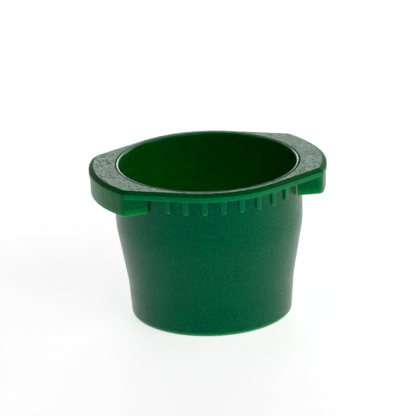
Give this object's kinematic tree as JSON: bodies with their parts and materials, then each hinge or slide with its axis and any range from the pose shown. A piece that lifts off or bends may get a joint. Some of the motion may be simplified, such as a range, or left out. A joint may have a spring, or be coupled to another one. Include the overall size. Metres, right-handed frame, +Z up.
{
  "type": "wasp trap bait cup",
  "caption": "Open bait cup of a wasp trap with a lift-off winged collar, short ribs under its rim and an absorbent lure pad on its floor.",
  "frame": {"origin": "centre of the ring that the cup stands on", "axes": "+X along the two wings of the collar, +Y across them, +Z up out of the mouth"},
  "size_m": [0.076, 0.0644, 0.0504],
  "materials": {
    "green_plastic": "translucent moulded polypropylene with a fine frosted grain",
    "collar_plastic": "translucent moulded polypropylene with a coarser grain on its top face",
    "lure_felt": "pressed felt"
  },
  "bodies": {
    "cup": {"cup": "green_plastic"},
    "collar": {"winged_collar": "collar_plastic"},
    "pad": {"lure_pad": "lure_felt"}
  },
  "joints": [
    {"name": "collar_lift", "type": "slide", "parent": "cup", "child": "collar", "axis": [0, 0, 1], "range_m": [0, 0.02]},
    {"name": "pad_lift", "type": "slide", "parent": "cup", "child": "pad", "axis": [0, 0, 1], "range_m": [0, 0.08]}
  ]
}
